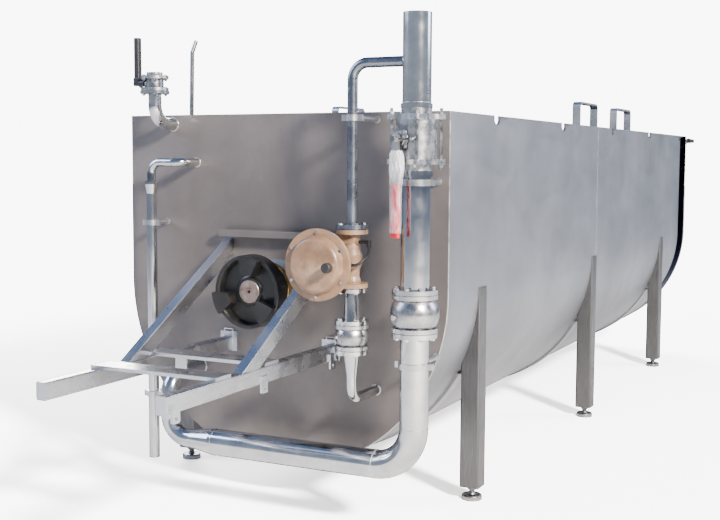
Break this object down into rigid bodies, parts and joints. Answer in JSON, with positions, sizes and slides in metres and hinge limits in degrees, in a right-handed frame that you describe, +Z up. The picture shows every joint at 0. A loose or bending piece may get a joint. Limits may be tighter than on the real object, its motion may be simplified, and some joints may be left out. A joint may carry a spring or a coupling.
{
  "type": "open-topped agitated dairy vat",
  "caption": "Open U-shaped stainless dairy vat on levelling legs, with a horizontal agitator, coupling half, gearmotor console, valves and pipework on its front plate.",
  "frame": {"origin": "on the floor in the vessel's plane of symmetry, half way along the whole object", "axes": "+Z up; +Y along the vat from the pipework end to the rear; +X to the right seen from the pipework end"},
  "size_m": [1.5135, 5.912, 1.893],
  "materials": {
    "stainless_sheet": "cold-rolled stainless sheet, matt, handled",
    "polished_tail": "bright rolled stainless sheet",
    "brushed_section": "brushed stainless hollow section and bar",
    "satin_pipe": "satin stainless tube",
    "cast_stainless": "bead-blasted stainless casting",
    "bright_fastener": "bright stainless fasteners",
    "polished_inside": "polished stainless",
    "shaft_steel": "turned steel",
    "black_casting": "black painted casting, semi-gloss",
    "blue_casting": "blue painted cast housing",
    "bronze_gland": "turned bronze",
    "tan_enamel": "beige enamel on castings",
    "black_plastic": "moulded black polyamide",
    "black_rubber": "black rubber",
    "lever_steel": "stamped stainless strip",
    "red_grip": "dipped red vinyl",
    "clear_film": "creased clear packing film",
    "foot_steel": "turned stainless levelling feet"
  },
  "bodies": {
    "vat": {"actuator_cap": "black_plastic", "actuator_cover": "tan_enamel", "ball_valve_body": "cast_stainless", "ball_valve_caps": "cast_stainless", "braces": "brushed_section", "butterfly_body": "cast_stainless", "check_valve_body": "cast_stainless", "crossbars": "brushed_section", "drain_pipe": "satin_pipe", "drop_pipe": "satin_pipe", "feed_pipe": "satin_pipe", "flange_bearings": "blue_casting", "flange_bolts": "bright_fastener", "front_plate": "stainless_sheet", "gaskets": "black_rubber", "gland_ring": "bronze_gland", "hose_fittings": "black_plastic", "impulse_hose": "black_rubber", "inlet_bend": "satin_pipe", "inlet_elbow": "satin_pipe", "ledge_bar": "brushed_section", "legs": "brushed_section", "lifting_bows": "brushed_section", "overflow_pipe": "satin_pipe", "pipe_clamps": "satin_pipe", "rail_left": "brushed_section", "rail_right": "brushed_section", "rear_elbow": "satin_pipe", "rear_plate": "stainless_sheet", "rear_valve_body": "cast_stainless", "regulator_body": "tan_enamel", "return_elbow": "satin_pipe", "return_pipe": "satin_pipe", "rim_bars": "stainless_sheet", "riser_pipe": "satin_pipe", "saddle_straps": "stainless_sheet", "small_check_body": "cast_stainless", "tail_shell": "polished_tail", "tank_shell": "stainless_sheet", "upper_cone": "satin_pipe", "vent_tube": "stainless_sheet"},
    "agitator": {"agitator_shaft": "shaft_steel", "agitator_paddles": "stainless_sheet", "coupling_half": "black_casting"},
    "ball_valve_handle": {"valve_ball": "polished_inside", "valve_lever": "lever_steel", "lever_sleeve": "red_grip", "lever_film": "clear_film"},
    "check_flap": {"check_disc": "polished_inside"},
    "small_check_flap": {"small_check_disc": "polished_inside"},
    "inlet_handle": {"butterfly_disc": "polished_inside", "butterfly_lever": "black_plastic"},
    "rear_handle": {"rear_valve_disc": "polished_inside", "rear_valve_lever": "black_plastic"},
    "foot_1": {"levelling_foot_1": "foot_steel"},
    "foot_2": {"levelling_foot_2": "foot_steel"},
    "foot_3": {"levelling_foot_3": "foot_steel"},
    "foot_4": {"levelling_foot_4": "foot_steel"},
    "foot_5": {"levelling_foot_5": "foot_steel"},
    "foot_6": {"levelling_foot_6": "foot_steel"}
  },
  "joints": [
    {"name": "agitator_spin", "type": "hinge", "parent": "vat", "child": "agitator", "pos_m": [0, -1.846, 0.873], "axis": [0, 1, 0], "continuous": true},
    {"name": "ball_valve_turn", "type": "hinge", "parent": "vat", "child": "ball_valve_handle", "pos_m": [0.685, -2.054, 1.451], "axis": [-0.342, -0.9397, 0], "range_deg": [0, 90]},
    {"name": "check_lift", "type": "slide", "parent": "vat", "child": "check_flap", "axis": [0, 0, 1], "range_m": [0, 0.02]},
    {"name": "small_check_lift", "type": "slide", "parent": "vat", "child": "small_check_flap", "axis": [0, 0, 1], "range_m": [0, 0.012]},
    {"name": "inlet_valve_turn", "type": "hinge", "parent": "vat", "child": "inlet_handle", "pos_m": [-0.513, -1.967, 1.683], "axis": [1, 0, 0], "range_deg": [0, 90]},
    {"name": "rear_valve_turn", "type": "hinge", "parent": "vat", "child": "rear_handle", "pos_m": [0.64, 2.799, 1.522], "axis": [1, 0, 0], "range_deg": [0, 90]},
    {"name": "foot_1_level", "type": "slide", "parent": "vat", "child": "foot_1", "axis": [0, 0, -1], "range_m": [0, 0.03]},
    {"name": "foot_2_level", "type": "slide", "parent": "vat", "child": "foot_2", "axis": [0, 0, -1], "range_m": [0, 0.03]},
    {"name": "foot_3_level", "type": "slide", "parent": "vat", "child": "foot_3", "axis": [0, 0, -1], "range_m": [0, 0.03]},
    {"name": "foot_4_level", "type": "slide", "parent": "vat", "child": "foot_4", "axis": [0, 0, -1], "range_m": [0, 0.03]},
    {"name": "foot_5_level", "type": "slide", "parent": "vat", "child": "foot_5", "axis": [0, 0, -1], "range_m": [0, 0.03]},
    {"name": "foot_6_level", "type": "slide", "parent": "vat", "child": "foot_6", "axis": [0, 0, -1], "range_m": [0, 0.03]}
  ]
}
